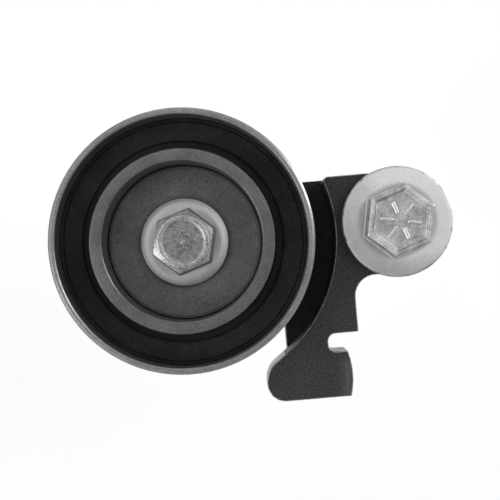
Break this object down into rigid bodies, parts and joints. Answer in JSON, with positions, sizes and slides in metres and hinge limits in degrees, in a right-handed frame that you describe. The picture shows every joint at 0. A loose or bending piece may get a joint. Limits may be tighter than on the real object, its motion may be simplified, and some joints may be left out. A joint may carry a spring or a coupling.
{
  "type": "belt tensioner idler",
  "caption": "Smooth sealed-bearing roller on a forged arm that swings on a flange bolt; a foot on the arm takes a plunger that pushes the roller into a belt.",
  "frame": {"origin": "on the arm's pivot axis, at the face that seats on the engine block", "axes": "+Z along the pivot and roller axes towards the front, +X from the roller to the pivot, +Y away from the arm's plunger foot"},
  "size_m": [0.093, 0.0695, 0.0654],
  "materials": {
    "ground_steel": "ground and hardened",
    "bearing_steel": "satin, lightly oiled",
    "cast_hub": "matte sintered steel",
    "zinc_plate": "zinc plated",
    "black_oxide": "black oxide forging",
    "seal_rubber": "matte nitrile rubber",
    "bronze": "sintered bronze",
    "cage_nylon": "natural polyamide",
    "ball_steel": "polished"
  },
  "bodies": {
    "pivot": {"pivot_bolt": "zinc_plate", "pivot_sleeve": "ground_steel", "rear_washer": "ground_steel"},
    "arm": {"tensioner_arm": "black_oxide", "pivot_bushing": "bronze", "hub": "cast_hub", "roller_bolt": "zinc_plate", "inner_ring": "bearing_steel"},
    "roller": {"outer_ring": "ground_steel", "front_seal": "seal_rubber", "rear_seal": "seal_rubber"},
    "cage": {"cage": "cage_nylon"},
    "ball_01": {"ball_01": "ball_steel"},
    "ball_02": {"ball_02": "ball_steel"},
    "ball_03": {"ball_03": "ball_steel"},
    "ball_04": {"ball_04": "ball_steel"},
    "ball_05": {"ball_05": "ball_steel"},
    "ball_06": {"ball_06": "ball_steel"},
    "ball_07": {"ball_07": "ball_steel"},
    "ball_08": {"ball_08": "ball_steel"},
    "ball_09": {"ball_09": "ball_steel"},
    "ball_10": {"ball_10": "ball_steel"},
    "ball_11": {"ball_11": "ball_steel"},
    "ball_12": {"ball_12": "ball_steel"}
  },
  "joints": [
    {"name": "arm_pivot", "type": "hinge", "parent": "pivot", "child": "arm", "pos_m": [0, 0, 0], "axis": [0, 0, 1], "range_deg": [-12, 8]},
    {"name": "roller_spin", "type": "hinge", "parent": "arm", "child": "roller", "pos_m": [-0.05, -0.0005, 0.0275], "axis": [0, 0, 1], "continuous": true},
    {"name": "cage_spin", "type": "hinge", "parent": "arm", "child": "cage", "pos_m": [-0.05, -0.0005, 0.0275], "axis": [0, 0, 1], "continuous": true},
    {"name": "ball_01_spin", "type": "hinge", "parent": "cage", "child": "ball_01", "pos_m": [-0.02683, -0.0005, 0.0275], "axis": [0, 0, 1], "continuous": true},
    {"name": "ball_02_spin", "type": "hinge", "parent": "cage", "child": "ball_02", "pos_m": [-0.02993, 0.01109, 0.0275], "axis": [0, 0, 1], "continuous": true},
    {"name": "ball_03_spin", "type": "hinge", "parent": "cage", "child": "ball_03", "pos_m": [-0.03841, 0.01957, 0.0275], "axis": [0, 0, 1], "continuous": true},
    {"name": "ball_04_spin", "type": "hinge", "parent": "cage", "child": "ball_04", "pos_m": [-0.05, 0.02268, 0.0275], "axis": [0, 0, 1], "continuous": true},
    {"name": "ball_05_spin", "type": "hinge", "parent": "cage", "child": "ball_05", "pos_m": [-0.06159, 0.01957, 0.0275], "axis": [0, 0, 1], "continuous": true},
    {"name": "ball_06_spin", "type": "hinge", "parent": "cage", "child": "ball_06", "pos_m": [-0.07007, 0.01109, 0.0275], "axis": [0, 0, 1], "continuous": true},
    {"name": "ball_07_spin", "type": "hinge", "parent": "cage", "child": "ball_07", "pos_m": [-0.07318, -0.0005, 0.0275], "axis": [0, 0, 1], "continuous": true},
    {"name": "ball_08_spin", "type": "hinge", "parent": "cage", "child": "ball_08", "pos_m": [-0.07007, -0.01209, 0.0275], "axis": [0, 0, 1], "continuous": true},
    {"name": "ball_09_spin", "type": "hinge", "parent": "cage", "child": "ball_09", "pos_m": [-0.06159, -0.02057, 0.0275], "axis": [0, 0, 1], "continuous": true},
    {"name": "ball_10_spin", "type": "hinge", "parent": "cage", "child": "ball_10", "pos_m": [-0.05, -0.02368, 0.0275], "axis": [0, 0, 1], "continuous": true},
    {"name": "ball_11_spin", "type": "hinge", "parent": "cage", "child": "ball_11", "pos_m": [-0.03841, -0.02057, 0.0275], "axis": [0, 0, 1], "continuous": true},
    {"name": "ball_12_spin", "type": "hinge", "parent": "cage", "child": "ball_12", "pos_m": [-0.02993, -0.01209, 0.0275], "axis": [0, 0, 1], "continuous": true}
  ],
  "couplings": [
    {"joint": "cage_spin", "follows": "roller_spin", "ratio": 0.5685},
    {"joint": "ball_01_spin", "follows": "roller_spin", "ratio": 3.5811},
    {"joint": "ball_02_spin", "follows": "roller_spin", "ratio": 3.5811},
    {"joint": "ball_03_spin", "follows": "roller_spin", "ratio": 3.5811},
    {"joint": "ball_04_spin", "follows": "roller_spin", "ratio": 3.5811},
    {"joint": "ball_05_spin", "follows": "roller_spin", "ratio": 3.5811},
    {"joint": "ball_06_spin", "follows": "roller_spin", "ratio": 3.5811},
    {"joint": "ball_07_spin", "follows": "roller_spin", "ratio": 3.5811},
    {"joint": "ball_08_spin", "follows": "roller_spin", "ratio": 3.5811},
    {"joint": "ball_09_spin", "follows": "roller_spin", "ratio": 3.5811},
    {"joint": "ball_10_spin", "follows": "roller_spin", "ratio": 3.5811},
    {"joint": "ball_11_spin", "follows": "roller_spin", "ratio": 3.5811},
    {"joint": "ball_12_spin", "follows": "roller_spin", "ratio": 3.5811}
  ]
}
